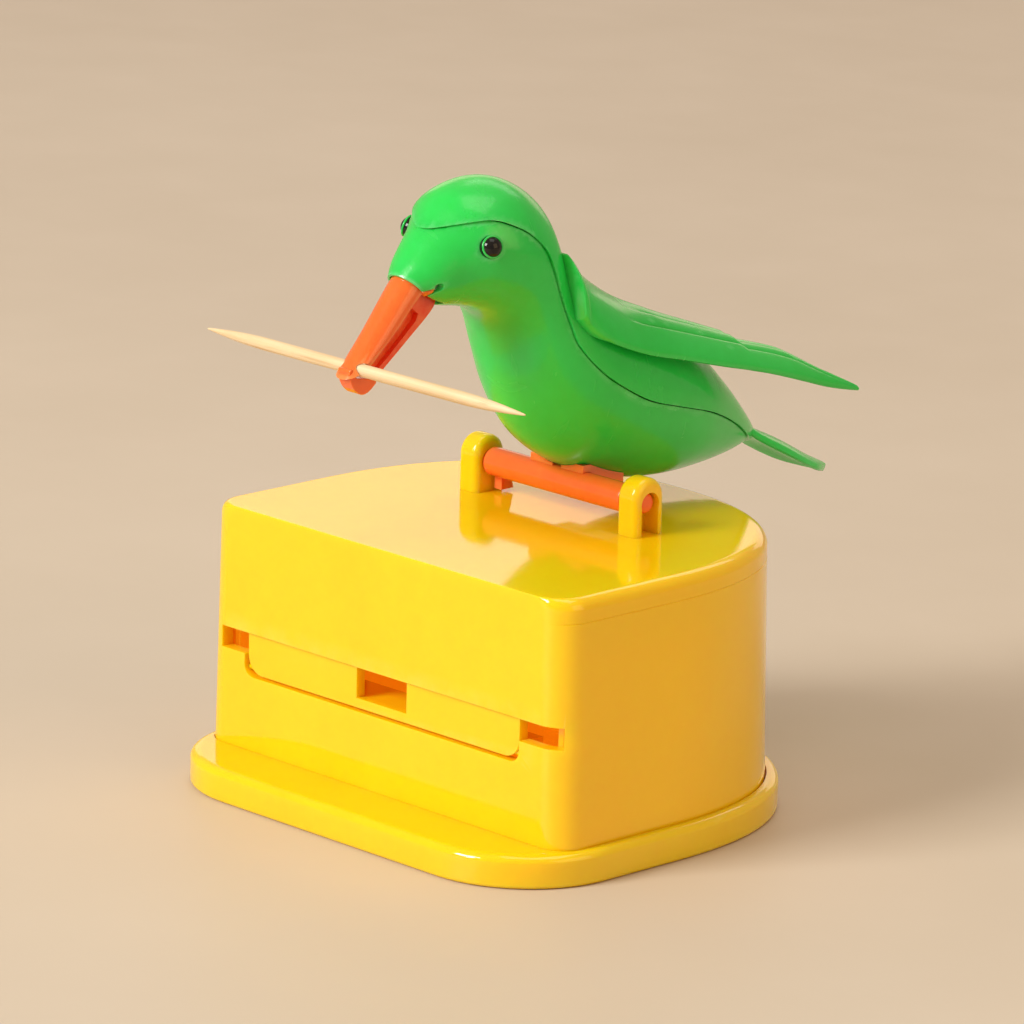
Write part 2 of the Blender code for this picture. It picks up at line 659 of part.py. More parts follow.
def tail_plate():
    """The tail: a thin leaf that droops towards its edges."""
    rings = []
    for y, z, half, droop in TAIL_STATIONS:
        face, back = [], []
        for i in range(7):
            t = i / 3 - 1
            point = Vector((half * t, y, z - droop * t * t))
            face.append(point + TAIL_LIFT)
            back.append(point - TAIL_LIFT)
        rings.append(face + back[::-1])
    return loft(rings)


def make_bird():
    inside = piece("body_inside", body_loft(-SHELL, skip=1), BIRD)
    above = piece("above_seam", seam_region(GAP / 2), BIRD)
    above_body = piece("above_body", seam_region(-GAP / 2), BIRD)
    beak_room = piece("beak_room", beak_loft(GAP, stretch=4.5), BIRD)
    body = piece("bird_body", body_loft(0), BIRD, GREEN)
    cut(body, inside, above_body, beak_room, SHAFT_CLEAR)
    cap = piece("bird_cap", body_loft(0), BIRD, GREEN)
    cut(cap, inside)
    combine(cap, above, "INTERSECT")
    join(cap, piece("tail", tail_plate(), BIRD))
    for name, side in (("left", -1), ("right", 1)):
        cut(cap, make_wing(name, side))
        eye = (side * EYE_AT.x, EYE_AT.y, EYE_AT.z)
        cut(body, piece("eye_socket_" + name, ball(eye, EYE_RADIUS + GAP), BIRD))
        piece("eye_" + name, ball(eye, EYE_RADIUS), BIRD, BLACK)
        hole_middle = BEAK_PIN + Vector((side * 4, 0, 0))
        hole = rod(hole_middle, BEAK_PIN_RADIUS + GAP, 6, "X", segments=12)
        cut(body, piece("pin_hole_" + name, hole, BIRD))
    pocket = block(BEAK_PIN - Vector((4.7, 1.7, 1.75)), BEAK_PIN + Vector((-2.6, 1.9, 1.8)))
    cut(body, piece("spring_pocket", pocket, BIRD))
    piece("tail_weight", rod(WEIGHT_AT, WEIGHT_RADIUS, WEIGHT_LENGTH, "Y"), BIRD, STEEL)


def make_beak_spring():
    """A torsion coil round the beak pin, inside the head."""
    curve = bpy.data.curves.new("beak_spring", "CURVE")
    curve.dimensions = "3D"
    curve.bevel_depth = SPRING_WIRE * MM
    curve.bevel_resolution = 2
    curve.use_fill_caps = True
    route = []
    for i in range(SPRING_TURNS * SPRING_STEPS + 1):
        turn = 2 * math.pi * i / SPRING_STEPS
        along = SPRING_START + SPRING_PITCH * i / SPRING_STEPS
        coil = Vector((0, math.cos(turn), math.sin(turn))) * SPRING_COIL
        route.append(Vector((along, BEAK_PIN.y, BEAK_PIN.z)) + coil)
    spline = curve.splines.new("POLY")
    spline.points.add(len(route) - 1)
    datum = Vector(BIRD["datum"])
    for point, at in zip(spline.points, route):
        point.co = (*((at - datum) * MM), 1)
    curve.materials.append(STEEL)
    spring = bpy.data.objects.new("beak_spring", curve)
    spring.parent = BIRD
    PARTS.objects.link(spring)


def make_toothpick():
    """A round toothpick, pointed at both ends, turned about X."""
    half = PICK_LENGTH / 2
    shoulder = half - PICK_POINT
    stations = [(-half, PICK_TIP), (-shoulder, PICK_RADIUS), (shoulder, PICK_RADIUS), (half, PICK_TIP)]
    rings = []
    for x, radius in stations:
        ring = []
        for i in range(16):
            turn = 2 * math.pi * i / 16
            ring.append(PICK + Vector((x, radius * math.cos(turn), radius * math.sin(turn))))
        rings.append(ring)
    piece("held_toothpick", loft(rings), TOOTHPICK, WOOD)


make_base_tray()
make_housing()
make_gate()
make_hopper()
for number, place in enumerate(SCREW_PLACES, 1):
    make_base_screw(number, *place)
make_perch()
make_bird()
make_beak()
make_beak_spring()
make_toothpick()
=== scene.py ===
"""Looks of the bird toothpick dispenser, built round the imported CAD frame.

Sizes are in millimetres on the box's own datum: X across the front, Y back from the front face at its
foot, Z up from the table. at() turns them into metres in the frame.
"""

import json
import math

import bmesh
import bpy
from mathutils import Matrix, Vector, noise

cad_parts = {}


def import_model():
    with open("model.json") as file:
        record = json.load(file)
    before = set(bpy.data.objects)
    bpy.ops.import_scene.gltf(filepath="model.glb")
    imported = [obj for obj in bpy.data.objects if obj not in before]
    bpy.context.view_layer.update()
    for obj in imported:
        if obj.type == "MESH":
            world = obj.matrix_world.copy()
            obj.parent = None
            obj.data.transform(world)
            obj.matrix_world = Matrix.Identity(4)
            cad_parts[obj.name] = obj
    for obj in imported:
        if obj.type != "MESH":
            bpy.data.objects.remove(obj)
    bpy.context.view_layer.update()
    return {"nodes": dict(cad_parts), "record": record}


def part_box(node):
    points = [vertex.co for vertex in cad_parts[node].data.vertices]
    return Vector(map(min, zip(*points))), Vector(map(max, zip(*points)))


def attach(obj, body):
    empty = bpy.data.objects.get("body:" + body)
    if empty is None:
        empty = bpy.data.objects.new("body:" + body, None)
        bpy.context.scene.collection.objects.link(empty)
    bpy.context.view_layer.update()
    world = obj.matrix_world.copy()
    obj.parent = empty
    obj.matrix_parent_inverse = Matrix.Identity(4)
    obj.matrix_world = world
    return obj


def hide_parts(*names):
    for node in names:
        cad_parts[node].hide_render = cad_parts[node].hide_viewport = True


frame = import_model()

MM = 0.001
FLANGE_FRONT = 9.8
CENTRE_Y = -FLANGE_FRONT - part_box("base_tray")[0][1] / MM      # the frame's origin on the box's datum


def at(point):
    return Vector((point[0], point[1] - CENTRE_Y, point[2])) * MM


# ---------------------------------------------------------------- materials


class Nodes:
    """Short names for building one material's node tree."""

    def __init__(self, name):
        self.material = bpy.data.materials.new(name)
        self.material.use_nodes = True
        self.tree = self.material.node_tree
        self.shader = self.tree.nodes["Principled BSDF"]
        self.place = self.add("ShaderNodeTexCoord").outputs["Object"]

    def add(self, kind, **settings):
        node = self.tree.nodes.new(kind)
        for key, value in settings.items():
            setattr(node, key, value)
        return node

    def link(self, start, end):
        self.tree.links.new(start, end)

    def mapped(self, scale, turn=(0, 0, 0)):
        node = self.add("ShaderNodeMapping")
        node.inputs["Scale"].default_value = scale
        node.inputs["Rotation"].default_value = turn
        self.link(self.place, node.inputs["Vector"])
        return node.outputs["Vector"]

    def noise(self, scale, detail=3.0, rough=0.5, where=None, distortion=0.0):
        node = self.add("ShaderNodeTexNoise")
        node.inputs["Scale"].default_value = scale
        node.inputs["Detail"].default_value = detail
        node.inputs["Roughness"].default_value = rough
        node.inputs["Distortion"].default_value = distortion
        self.link(where or self.place, node.inputs["Vector"])
        return node.outputs["Fac"]

    def ramp(self, value, low, high, to_low=0.0, to_high=1.0):
        node = self.add("ShaderNodeMapRange", clamp=True)
        self.link(value, node.inputs["Value"])
        for key, number in (("From Min", low), ("From Max", high), ("To Min", to_low), ("To Max", to_high)):
            node.inputs[key].default_value = number
        return node.outputs["Result"]

    def math(self, operation, a, b):
        node = self.add("ShaderNodeMath", operation=operation)
        for socket, value in zip(node.inputs, (a, b)):
            if isinstance(value, (int, float)):
                socket.default_value = value
            else:
                self.link(value, socket)
        return node.outputs["Value"]

    def mix(self, share, a, b):
        node = self.add("ShaderNodeMix", data_type="RGBA")
        self.link(share, node.inputs["Factor"])
        for socket, value in ((node.inputs[6], a), (node.inputs[7], b)):
            if isinstance(value, tuple):
                socket.default_value = (*value, 1.0)
            else:
                self.link(value, socket)
        return node.outputs[2]

    def bump(self, height, strength, distance, below=None):
        node = self.add("ShaderNodeBump")
        node.inputs["Strength"].default_value = strength
        node.inputs["Distance"].default_value = distance
        self.link(height, node.inputs["Height"])
        if below:
            self.link(below, node.inputs["Normal"])
        return node.outputs["Normal"]

    def set(self, **values):
        for key, value in values.items():
            self.shader.inputs[key.replace("_", " ")].default_value = value


def plastic(name, colour, deep, pale, gloss, glow, glow_radius, grain, polish):
    """Moulded plastic: flow marks, smudges, hairline scratches and rubbed edges."""
    n = Nodes(name)
    flow = n.noise(38, 4, 0.55, n.mapped((1.0, 1.0, 0.45)), distortion=0.6)
    speck = n.noise(520, 2, 0.6)
    tone = n.math("MULTIPLY", n.ramp(flow, 0.30, 0.72), 0.75)
    tone = n.math("ADD", tone, n.math("MULTIPLY", n.ramp(speck, 0.35, 0.75), 0.25))
    body = n.mix(tone, deep, colour)
    edge = n.ramp(n.add("ShaderNodeNewGeometry").outputs["Pointiness"], 0.53, 0.64, 0.0, 0.55)
    rub = n.math("MULTIPLY", edge, n.ramp(n.noise(240, 4, 0.65), 0.35, 0.7))
    n.link(n.mix(rub, body, pale), n.shader.inputs["Base Color"])

    smudge = n.ramp(n.noise(55, 5, 0.6), 0.42, 0.75, 0.0, 0.10)
    hair = n.ramp(n.noise(1.0, 2, 0.5, n.mapped((30, 900, 160), (0.4, 0.2, 0.9))), 0.64, 0.74, 0.0, 0.06)
    hair_b = n.ramp(n.noise(1.0, 2, 0.5, n.mapped((700, 40, 220), (0.1, 0.5, -0.5))), 0.66, 0.76, 0.0, 0.05)
    scratch = n.math("ADD", hair, hair_b)
    marks = n.math("ADD", smudge, scratch)
    worn = n.math("ADD", n.math("MULTIPLY", rub, 0.12), gloss)
    n.link(n.math("ADD", marks, worn), n.shader.inputs["Roughness"])

    ripple = n.bump(n.noise(90, 2, 0.4), 0.04, 0.0004)
    fine = n.bump(n.noise(1900, 2, 0.5), grain, 0.00012, ripple)
    n.link(n.bump(scratch, 0.10, 0.00008, fine), n.shader.inputs["Normal"])
    n.set(IOR=1.50, Subsurface_Weight=glow, Subsurface_Radius=glow_radius, Subsurface_Scale=0.004)
    n.set(Coat_Weight=polish, Coat_Roughness=0.03, Coat_IOR=1.5)
    return n.material


YELLOW = plastic("scene_yellow", (1.0, 0.63, 0.004), (0.98, 0.57, 0.003), (1.0, 0.74, 0.12),
                 0.045, 0.55, (1.0, 0.55, 0.08), 0.05, 0.25)
GREEN = plastic("scene_green", (0.024, 0.67, 0.105), (0.015, 0.58, 0.072), (0.18, 0.82, 0.30),
                0.20, 0.30, (0.35, 1.0, 0.30), 0.16, 0.15)
ORANGE = plastic("scene_orange", (0.98, 0.185, 0.028), (0.93, 0.130, 0.018), (1.0, 0.36, 0.14),
                 0.15, 0.35, (1.0, 0.25, 0.08), 0.10, 0.4)
# Painted shade: a darker, redder copy of the orange plastic for the lower beak, standing in for the shade
# it sits in between the upper beak's walls.
SHADED_ORANGE = plastic("scene_orange_painted_shade", (0.92, 0.080, 0.012), (0.86, 0.055, 0.009), (1.0, 0.30, 0.10),
                      0.18, 0.30, (1.0, 0.20, 0.06), 0.10, 0.3)


def eye_gloss():
    n = Nodes("scene_eye")
    mottle = n.ramp(n.noise(900, 3), 0.3, 0.7)
    n.link(n.mix(mottle, (0.004, 0.004, 0.005), (0.016, 0.013, 0.012)), n.shader.inputs["Base Color"])
    n.link(n.ramp(n.noise(700, 4), 0.35, 0.75, 0.03, 0.14), n.shader.inputs["Roughness"])
    n.link(n.bump(n.noise(1500, 2), 0.06, 0.0001), n.shader.inputs["Normal"])
    n.set(IOR=1.38)
    return n.material


def pale_wood():
    """Split birch: long fibres along X, a few darker vessels, pores in the bump."""
    n = Nodes("scene_wood")
    along = n.mapped((14, 620, 620))
    fibre = n.noise(1.0, 5, 0.65, along, 0.5)
    band = n.noise(1.0, 2, 0.5, n.mapped((30, 150, 150)))
    vessel = n.ramp(n.noise(1.0, 3, 0.6, n.mapped((40, 1500, 1500))), 0.60, 0.72)
    base = n.mix(n.ramp(fibre, 0.28, 0.75), (0.62, 0.39, 0.18), (0.87, 0.70, 0.46))
    base = n.mix(n.ramp(band, 0.35, 0.7, 0.0, 0.45), base, (0.89, 0.74, 0.52))
    n.link(n.mix(n.math("MULTIPLY", vessel, 0.55), base, (0.50, 0.29, 0.12)), n.shader.inputs["Base Color"])
    n.link(n.ramp(fibre, 0.2, 0.8, 0.52, 0.72), n.shader.inputs["Roughness"])
    n.link(n.bump(vessel, 0.35, -0.00004, n.bump(fibre, 0.5, 0.00007)), n.shader.inputs["Normal"])
    n.set(Subsurface_Weight=0.12, Subsurface_Radius=(1.0, 0.6, 0.3), Subsurface_Scale=0.0008)
    return n.material


def steel():
    """Plain steel: fine lathe lines, a little tarnish."""
    n = Nodes("scene_steel")
    tarnish = n.ramp(n.noise(260, 5, 0.6), 0.4, 0.75)
    lines = n.noise(1.0, 2, 0.5, n.mapped((2600, 2600, 240)))
    n.link(n.mix(tarnish, (0.62, 0.62, 0.64), (0.42, 0.40, 0.38)), n.shader.inputs["Base Color"])
    n.link(n.math("ADD", n.ramp(lines, 0.3, 0.7, 0.20, 0.32), n.math("MULTIPLY", tarnish, 0.12)),
           n.shader.inputs["Roughness"])
    n.link(n.bump(lines, 0.2, 0.00003), n.shader.inputs["Normal"])
    n.set(Metallic=1.0)
    return n.material


# Painted glow: a more orange, self-lit copy of the yellow plastic for the hopper pieces inside the box,
# standing in for light that shines through its thin walls.
INNER_GLOW = plastic("scene_yellow_inner_painted_glow", (1.0, 0.50, 0.004), (0.94, 0.42, 0.003), (1.0, 0.62, 0.08),
                0.10, 0.55, (1.0, 0.55, 0.08), 0.05, 0.3)
INNER_GLOW_SHADER = INNER_GLOW.node_tree.nodes["Principled BSDF"]
# The light that comes through the box's thin walls.
INNER_GLOW_SHADER.inputs["Emission Color"].default_value = (1.0, 0.36, 0.004, 1.0)
INNER_GLOW_SHADER.inputs["Emission Strength"].default_value = 0.30
EYE = eye_gloss()
WOOD = pale_wood()
STEEL = steel()
SLOTS = {
    "yellow_plastic": YELLOW, "green_plastic": GREEN, "orange_plastic": ORANGE,
    "eye_black": EYE, "toothpick_wood": WOOD, "steel": STEEL,
}


# ---------------------------------------------------------------- mesh helpers, all in millimetres


def make(name, bm, smooth=32.0):
    """An object from a bmesh in millimetres."""
    for vertex in bm.verts:
        vertex.co = at(vertex.co)
    bmesh.ops.recalc_face_normals(bm, faces=bm.faces)
    mesh = bpy.data.meshes.new(name)
    bm.to_mesh(mesh)
    bm.free()
    mesh.shade_smooth()
    mesh.set_sharp_from_angle(angle=math.radians(smooth))
    made = bpy.data.objects.new(name, mesh)
    bpy.context.scene.collection.objects.link(made)
    return made


def settle(obj):
    """Turns the object's modifiers into its final mesh."""
    graph = bpy.context.evaluated_depsgraph_get()
    mesh = bpy.data.meshes.new_from_object(obj.evaluated_get(graph))
    obj.modifiers.clear()
    obj.data = mesh


def boolean(target, operation, *others):
    for other in others:
        change = target.modifiers.new(other.name, "BOOLEAN")
        change.operation = operation
        change.solver = "EXACT"
        change.object = other
    settle(target)
    for other in others:
        bpy.data.objects.remove(other, do_unlink=True)


def cut(target, *others):
    boolean(target, "DIFFERENCE", *others)


def soften(obj, width, segments=3, angle=35.0, smooth=32.0):
    """Rounds the sharp edges, then evens out the shading of the flats."""
    bevel = obj.modifiers.new("round", "BEVEL")
    bevel.width = width * MM
    bevel.segments = segments
    bevel.limit_method = "ANGLE"
    bevel.angle_limit = math.radians(angle)
    bevel.use_clamp_overlap = True
    bevel.miter_outer = "MITER_ARC"
    settle(obj)
    obj.data.shade_smooth()
    obj.data.set_sharp_from_angle(angle=math.radians(smooth))
    even = obj.modifiers.new("even", "WEIGHTED_NORMAL")
    even.keep_sharp = True
    even.weight = 80
    settle(obj)


def finish_piece(obj, body, slot, *nodes):
    """Gives the piece the material of its slot and its body, and hides the CAD nodes it stands for."""
    obj.data.materials.clear()
    obj.data.materials.append(SLOTS[slot])
    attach(obj, body)
    if nodes:
        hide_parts(*nodes)
    return obj


def between(p, q, r, s, t):
    """Catmull-Rom: the value at t on the way from q to r."""
    bend = 2 * p - 5 * q + 4 * r - s
    twist = 3 * q - p - 3 * r + s
    return 0.5 * (2 * q + (r - p) * t + bend * t**2 + twist * t**3)


def smooth_path(points, steps):
    knots = [points[0], *points, points[-1]]
    path = []
    for a, b, c, d in zip(knots, knots[1:], knots[2:], knots[3:]):
        for i in range(steps):
            path.append(tuple(between(p, q, r, s, i / steps) for p, q, r, s in zip(a, b, c, d)))
    return [*path, tuple(points[-1])]


def arc(centre, radius, start, end, steps):
    angles = [math.radians(start + (end - start) * i / steps) for i in range(steps + 1)]
    return [(centre[0] + radius * math.cos(a), centre[1] + radius * math.sin(a)) for a in angles]


def loft(rings, close_start=True, close_end=True):
    bm = bmesh.new()
    made = [[bm.verts.new(point) for point in ring] for ring in rings]
    count = len(rings[0])
    for near, far in zip(made, made[1:]):
        for i in range(count):
            j = (i + 1) % count
            bm.faces.new((near[i], near[j], far[j], far[i]))
    for ring, wanted in ((made[0][::-1], close_start), (made[-1], close_end)):
        if wanted:
            bm.faces.new(ring)
    return bm


def slab(outline, low, high, through):
    """A flat outline extruded from low to high along one axis."""
    place = {
        "X": lambda a, b, h: (h, a, b),
        "Y": lambda a, b, h: (a, h, b),
        "Z": lambda a, b, h: (a, b, h),
    }[through]
    return loft([[place(a, b, height) for a, b in outline] for height in (low, high)])


def block(low, high):
    outline = [(low[0], low[1]), (high[0], low[1]), (high[0], high[1]), (low[0], high[1])]
    return slab(outline, low[2], high[2], "Z")


def turned(profile, middle, axis, sides=48):
    """A profile of (distance along the axis, radius) turned about an axis through the middle."""
    rings = []
    for along, radius in profile:
        ring = []
        for i in range(sides):
            turn = 2 * math.pi * i / sides
            a, b = radius * math.cos(turn), radius * math.sin(turn)
            offset = {"X": (along, a, b), "Y": (a, along, b), "Z": (a, b, along)}[axis]
            ring.append(Vector(middle) + Vector(offset))
        rings.append(ring)
    return loft(rings)


def rod(middle, radius, length, axis, sides=48, edge=0.0):
    half = length / 2
    if not edge:
        return turned([(-half, radius), (half, radius)], middle, axis, sides)
    near = [(-half + edge * (1 - math.cos(a)), radius - edge * (1 - math.sin(a)))
            for a in [math.radians(90 * i / 5) for i in range(6)]]
    return turned(near + [(-along, wide) for along, wide in near[::-1]], middle, axis, sides)


def ball(middle, radius, sides=48):
    steps = sides // 2
    profile = []
    for i in range(steps + 1):
        turn = math.pi * (i + 0.02) / (steps + 0.04)
        profile.append((-radius * math.cos(turn), radius * math.sin(turn)))
    return turned(profile, middle, "X", sides)


# ---------------------------------------------------------------- box and base

BOX_HALF, BOX_STRAIGHT, BOX_BOW, BOX_BOW_POWER = 37.5, 20.3, 40.0, 2.42
BOX_TOP, BOX_CORNER, BOX_EDGE, BOX_DRAFT, WALL = 40.8, 4.5, 1.8, 0.76, 2.0
FLANGE_SIDE, FLANGE_CORNER, FLANGE_TOP, FLANGE_EDGE, FLOOR = 1.9, 16.5, 4.9, 1.2, 2.4
SLOT_LEFT, SLOT_RIGHT, SLOT_LOW, SLOT_HIGH = -33.6, 36.0, 19.3, 22.5
GATE_HALF, GATE_LOW, GATE_HIGH, GATE_CORNER = 28.2, 16.4, 22.3, 2.9
GATE_FACE, GATE_THICK = 0.45, 1.6
NOTCH_HALF, NOTCH_LOW, GATE_FLOOR = 5.2, 17.8, 8.0
GATE_PIN_RADIUS, GATE_PIN_LENGTH = 0.5, 60.8
GAP = 0.3
SCREW_PLACES = [(-24, 13), (24, 13), (-24, 24), (24, 24)]
SCREW_HOLE, SEAT_RADIUS, SEAT_LENGTH = 1.5, 2.6, 3.1
TRAY_FOOT_EDGE = 0.6        # rounding of the tray's edge on the table
TRAY_RECESS = 0.22          # how far the recess is wider than the box
CUT_FROM, CUT_TO = -2, 3.4  # Y range of the cuts through the front wall


def d_outline(inset, corner=BOX_CORNER, front=0.0, corner_steps=14, bow_steps=56):
    """The D-shaped plan: rounded corners in front, a bowed back."""
    half, bow = BOX_HALF - inset, BOX_BOW - inset
    right = arc((half - corner, front + corner), corner, -90, 0, corner_steps)
    for i in range(1, 9):
        right.append((half, front + corner + (BOX_STRAIGHT - front - corner) * i / 9))
    for i in range(bow_steps):
        turn = math.radians(90 * i / bow_steps)
        across = half * math.cos(turn) ** (2 / BOX_BOW_POWER)
        right.append((across, BOX_STRAIGHT + bow * math.sin(turn) ** (2 / BOX_BOW_POWER)))
    return right + [(0.0, BOX_STRAIGHT + bow)] + [(-x, y) for x, y in right[::-1]]


def lean(height):
    return BOX_DRAFT * (height - FLANGE_TOP) / (BOX_TOP - FLANGE_TOP)


def base_tray():
    def ring(inset, height):
        grown = inset - FLANGE_SIDE
        return [(x, y, height) for x, y in d_outline(grown, FLANGE_CORNER, inset - FLANGE_FRONT)]

    rings = []
    for i in range(5):
        turn = math.radians(90 * i / 4)
        rings.append(ring(TRAY_FOOT_EDGE * (1 - math.sin(turn)), TRAY_FOOT_EDGE * (1 - math.cos(turn))))
    for i in range(9):
        turn = math.radians(90 * i / 8)
        height = FLANGE_TOP - FLANGE_EDGE * (1 - math.sin(turn))
        rings.append(ring(FLANGE_EDGE * (1 - math.cos(turn)), height))
    tray = make("visual_base_tray", loft(rings))
    cutters = [make("recess", slab(d_outline(-TRAY_RECESS), FLOOR, FLANGE_TOP + 3, "Z"))]
    for x, y in SCREW_PLACES:
        cutters.append(make("hole", rod((x, y, FLOOR / 2), SCREW_HOLE, 2 * FLOOR, "Z")))
        cutters.append(make("seat", rod((x, y, 0), SEAT_RADIUS, SEAT_LENGTH, "Z")))
    cut(tray, *cutters)
    soften(tray, 0.18, 2)
    return finish_piece(tray, "base", "yellow_plastic", "base_tray")


def gate_outline(grow, corner=GATE_CORNER):
    half, low = GATE_HALF + grow, GATE_LOW - grow
    high = GATE_HIGH + (0.2 if grow else 0.0)
    right = [(half, high)] + arc((half - corner, low + corner), corner, 0, -90, 16)
    return right + [(-x, z) for x, z in right[::-1]]


TOP_LINE, TOP_LINE_DEEP, TOP_LINE_HALF = 37.3, 0.10, 0.10       # the faint line under the top edge
OPENING_GROW, OPENING_CORNER = 0.40, 1.8                        # the gate's opening


def housing():
    """The open-bottomed box, with the slot and the gate's opening through its front."""
    heights = [(FLOOR + GAP, 0), (FLANGE_TOP, 0), (14, 0), (26, 0), (TOP_LINE - TOP_LINE_HALF, 0)]
    heights += [(TOP_LINE, TOP_LINE_DEEP), (TOP_LINE + TOP_LINE_HALF, 0)]
    rings = [[(x, y, z) for x, y in d_outline(max(lean(z), 0) + deep)] for z, deep in heights]
    for i in range(11):
        turn = math.radians(90 * i / 10)
        height = BOX_TOP - BOX_EDGE * (1 - math.sin(turn))
        inset = lean(height) + BOX_EDGE * (1 - math.cos(turn))
        rings.append([(x, y, height) for x, y in d_outline(inset)])
    box = make("visual_housing", loft(rings))
    levels = [(-1, WALL), (BOX_TOP - WALL - 1.5, WALL + BOX_DRAFT), (BOX_TOP - WALL, WALL + 1.6)]
    room = []
    for height, inset in levels:
        room.append([(x, y, height) for x, y in d_outline(inset, BOX_CORNER - WALL, WALL)])
    slot = [(SLOT_LEFT, SLOT_LOW), (SLOT_RIGHT, SLOT_LOW), (SLOT_RIGHT, SLOT_HIGH), (SLOT_LEFT, SLOT_HIGH)]
    opening = gate_outline(OPENING_GROW, OPENING_CORNER)
    cut(box, make("room", loft(room)), make("slot", slab(slot, CUT_FROM, CUT_TO, "Y")),
        make("gate_opening", slab(opening, CUT_FROM, CUT_TO, "Y")))
    soften(box, 0.22, 3)
    return finish_piece(box, "box", "yellow_plastic", "housing")


def pick_gate():
    """The lip in the front, the trough behind it and the two stub pins it tips on."""
    gate = make("visual_pick_gate", slab(gate_outline(0), GATE_FACE, GATE_FACE + GATE_THICK, "Y"))
    half = GATE_HALF - GATE_CORNER
    start = GATE_FACE + GATE_THICK / 2
    trough = [
        (start, GATE_LOW + 0.02), (GATE_FLOOR, GATE_LOW + 0.3),
        (GATE_FLOOR, GATE_LOW + 1.3), (start, GATE_LOW + 1.3),
    ]
    axis = (0, start, GATE_LOW + GATE_THICK / 2)
    boolean(gate, "UNION", make("trough", slab(trough, -half, half, "X")),
            make("pins", rod(axis, GATE_PIN_RADIUS, GATE_PIN_LENGTH, "X", 24)))
    notch = [
        (-NOTCH_HALF, NOTCH_LOW), (NOTCH_HALF, NOTCH_LOW),
        (NOTCH_HALF, GATE_HIGH + 2), (-NOTCH_HALF, GATE_HIGH + 2),
    ]
    cut(gate, make("notch", slab(notch, -2, 4, "Y")))
    soften(gate, 0.50, 4)
    return finish_piece(gate, "gate", "yellow_plastic", "pick_gate")


# ---------------------------------------------------------------- perch

PERCH_AXIS = Vector((0, 35.0, 45.4))
PERCH_RADIUS, STUB_RADIUS = 2.13, 1.5
LUG_IN, LUG_OUT, LUG_WIDE, LUG_TOP, LUG_SLOT, LUG_WEB = 14.4, 18.4, 6.0, 49.2, 3.3, 1.2
LUG_EDGE = 1.1          # rounding of the lugs' edges
BAR_END = 0.35          # the bar's gap to each lug, and the rounding of its ends
# A heel that stops the bird at rest, Y and Z from the perch's axis.
HEEL = [(0.2, -4.1), (2.6, -4.1), (1.7, -0.8), (0.2, 0)]
HEEL_IN, HEEL_OUT = 12.3, 13.8


def lug(name, side):
    """An upright of the perch: a thick round-edged arch with a slot that the shaft's stub sits in."""
    y, z = PERCH_AXIS.y, PERCH_AXIS.z
    quarter = [math.radians(90 * i / 8) for i in range(9)]
    near = [(LUG_IN + LUG_EDGE * (1 - math.cos(a)), LUG_EDGE * (1 - math.sin(a))) for a in quarter]
    far = [(LUG_IN + LUG_OUT - x, inset) for x, inset in near[::-1]]
    rings = []
    for x, inset in near + far:
        radius = LUG_WIDE / 2 - inset
        arch = [(y - radius, BOX_TOP - 0.8), (y + radius, BOX_TOP - 0.8)]
        arch += arc((y, LUG_TOP - LUG_WIDE / 2), radius, 0, 180, 40)
        rings.append([(side * x, across, up) for across, up in arch])
    slot = [(y - LUG_SLOT / 2, BOX_TOP - 3), (y + LUG_SLOT / 2, BOX_TOP - 3)]
    slot += arc((y, z), LUG_SLOT / 2, 0, 180, 32)
    upright = make("visual_lug_" + name, loft(rings))
    slot_ends = sorted((side * (LUG_IN + LUG_WEB), side * (LUG_OUT + 1)))
    hole = rod((side * (LUG_IN + LUG_OUT) / 2, y, z), STUB_RADIUS + 0.25, 2 * LUG_WIDE, "X")
    cut(upright, make("lug_slot", slab(slot, *slot_ends, "X")), make("lug_hole", hole))
    soften(upright, 0.15, 2, 50)
    return finish_piece(upright, "box", "yellow_plastic")


def shaft():
    """The perch bar, its stubs and the heels that stop the bird."""
    length = 2 * (LUG_IN - BAR_END)
    bar = make("visual_perch_shaft", rod(PERCH_AXIS, PERCH_RADIUS, length, "X", 64, BAR_END))
    parts = [make("stubs", rod(PERCH_AXIS, STUB_RADIUS, 2 * (LUG_OUT - 0.7), "X", 48, 0.5))]
    heel = [(PERCH_AXIS.y + y, PERCH_AXIS.z + z) for y, z in HEEL]
    for side in (-1, 1):
        parts.append(make("heel", slab(heel, *sorted((side * HEEL_IN, side * HEEL_OUT)), "X")))
    boolean(bar, "UNION", *parts)
    soften(bar, 0.22, 3, 50)
    return finish_piece(bar, "bird", "orange_plastic", "perch_shaft")


# ---------------------------------------------------------------- bird's body and cap

# Stations from the beak's root to the tail: top (Y, Z), bottom (Y, Z), half width.
BODY_STATIONS = [
    (1.6, 80.3, 5.6, 76.4, 3.2),
    (3.6, 82.9, 8.4, 75.2, 5.0),
    (7.2, 87.0, 12.2, 74.5, 6.6),
    (11.3, 90.8, 16.0, 73.4, 9.1),
    (18.4, 92.0, 19.4, 71.0, 10.1),
    (24.5, 89.2, 21.4, 66.8, 10.1),
    (28.3, 82.9, 22.8, 61.8, 10.1),
    (33.4, 77.6, 25.0, 56.4, 11.0),
    (39.0, 73.6, 28.8, 51.4, 11.8),
    (46.0, 69.8, 34.8, 47.6, 12.0),
    (53.0, 65.8, 43.0, 44.8, 11.3),
    (59.5, 61.2, 52.0, 43.7, 9.6),
    (65.5, 55.8, 61.0, 43.9, 6.8),
    (70.5, 50.6, 68.0, 44.7, 4.0),
    (73.6, 47.2, 73.0, 45.8, 1.4),
]
# The parting line between body and cap, Y and Z, from the forehead back to the tail.
SEAM = [
    (-2.0, 84.6), (3.0, 85.2), (6.9, 86.7), (10.3, 87.7), (12.9, 87.9), (15.5, 87.1), (18.5, 85.5),
    (21.1, 83.0), (22.5, 80.2), (24.1, 76.1), (26.1, 71.5), (27.6, 68.2), (31.1, 64.4), (34.8, 61.7),
    (40.7, 58.6), (47.7, 56.5), (56.2, 54.0), (64.4, 50.4), (71.0, 46.3), (79.0, 40.6),
]
